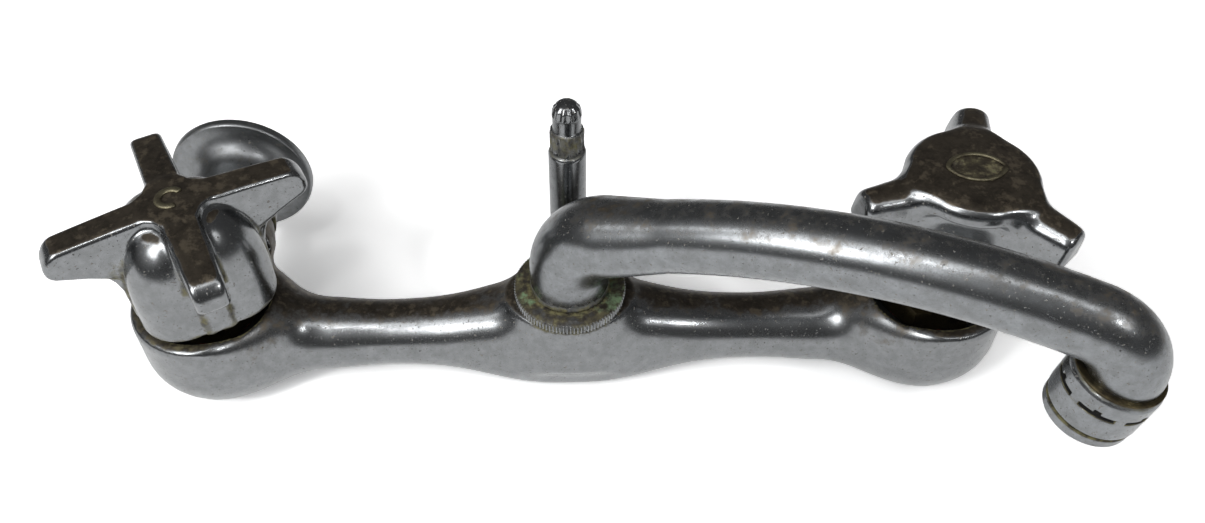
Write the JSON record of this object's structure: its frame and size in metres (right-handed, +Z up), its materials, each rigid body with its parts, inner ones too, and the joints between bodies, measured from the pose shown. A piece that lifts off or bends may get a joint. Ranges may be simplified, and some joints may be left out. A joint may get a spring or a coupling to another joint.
{
  "type": "pre rinse faucet",
  "caption": "Worn chrome wall-mounted mixing faucet base with a cross handle, a lobed disc handle, a bare centre valve stem and an arched swing spout.",
  "frame": {"origin": "midway between the two supply axes, in the plane of the wall", "axes": "+X along the body to the right as seen from the user, +Y into the wall, +Z up along the valve stems"},
  "size_m": [0.2655, 0.1163, 0.0874],
  "materials": {
    "casting": "worn, with pits and brown tarnish on top",
    "coupling_chrome": "worn, bright rim",
    "spout_chrome": "worn, pitted along the top",
    "handle_chrome": "tarnished brown on top, grey on the sides",
    "stem_chrome": "bright tip, dull shaft",
    "grimy_nut": "khaki grime and verdigris in the knurls",
    "brass": "dull",
    "steel": "satin",
    "button": "tarnished",
    "rubber": "matte",
    "fibre": "pressed fibre",
    "white_plastic": "matte"
  },
  "bodies": {
    "body": {"body_casting": "casting", "inlet_coupling": "coupling_chrome", "inlet_gasket": "rubber", "spout_nut": "grimy_nut", "left_bonnet": "brass", "left_bonnet_gasket": "fibre", "left_packing": "rubber", "left_packing_nut": "brass", "left_valve_seat": "brass", "right_bonnet": "brass", "right_bonnet_gasket": "fibre", "right_packing": "rubber", "right_packing_nut": "brass", "right_valve_seat": "brass", "centre_bonnet": "brass", "centre_bonnet_gasket": "fibre", "centre_packing": "rubber", "centre_packing_nut": "brass", "centre_valve_seat": "brass"},
    "left_lift": {"left_disc_holder": "brass", "left_seat_washer": "rubber", "left_washer_screw": "brass"},
    "left_turn": {"left_stem": "brass", "left_handle": "handle_chrome", "left_handle_screw": "steel", "left_index_button": "button"},
    "right_lift": {"right_disc_holder": "brass", "right_seat_washer": "rubber", "right_washer_screw": "brass"},
    "right_turn": {"right_stem": "brass", "right_handle": "handle_chrome", "right_handle_screw": "steel", "right_index_button": "button"},
    "centre_lift": {"centre_disc_holder": "brass", "centre_seat_washer": "rubber", "centre_washer_screw": "brass"},
    "centre_turn": {"centre_stem": "stem_chrome"},
    "spout": {"spout_tube": "spout_chrome", "spout_snap_ring": "brass", "spout_seal": "rubber", "aerator_collar": "brass", "aerator_housing": "spout_chrome", "aerator_insert": "white_plastic", "aerator_screen": "steel", "aerator_lower_ring": "spout_chrome"}
  },
  "joints": [
    {"name": "left_valve_lift", "type": "slide", "parent": "body", "child": "left_lift", "axis": [0, 0, 1], "range_m": [0, 0.00381]},
    {"name": "left_valve_turn", "type": "hinge", "parent": "left_lift", "child": "left_turn", "pos_m": [-0.1016, -0.051, 0], "axis": [0, 0, 1], "range_deg": [0, 540]},
    {"name": "right_valve_lift", "type": "slide", "parent": "body", "child": "right_lift", "axis": [0, 0, 1], "range_m": [0, 0.00381]},
    {"name": "right_valve_turn", "type": "hinge", "parent": "right_lift", "child": "right_turn", "pos_m": [0.1016, -0.051, 0], "axis": [0, 0, 1], "range_deg": [0, 540]},
    {"name": "centre_valve_lift", "type": "slide", "parent": "body", "child": "centre_lift", "axis": [0, 0, 1], "range_m": [0, 0.00381]},
    {"name": "centre_valve_turn", "type": "hinge", "parent": "centre_lift", "child": "centre_turn", "pos_m": [0, -0.025, 0], "axis": [0, 0, 1], "range_deg": [0, 540]},
    {"name": "spout_swivel", "type": "hinge", "parent": "body", "child": "spout", "pos_m": [0, -0.051, 0], "axis": [0, 0, 1], "range_deg": [-128, 0]}
  ],
  "couplings": [
    {"joint": "left_valve_turn", "follows": "left_valve_lift", "rad_per_m": 2473.7},
    {"joint": "right_valve_turn", "follows": "right_valve_lift", "rad_per_m": 2473.7},
    {"joint": "centre_valve_turn", "follows": "centre_valve_lift", "rad_per_m": 2473.7}
  ]
}
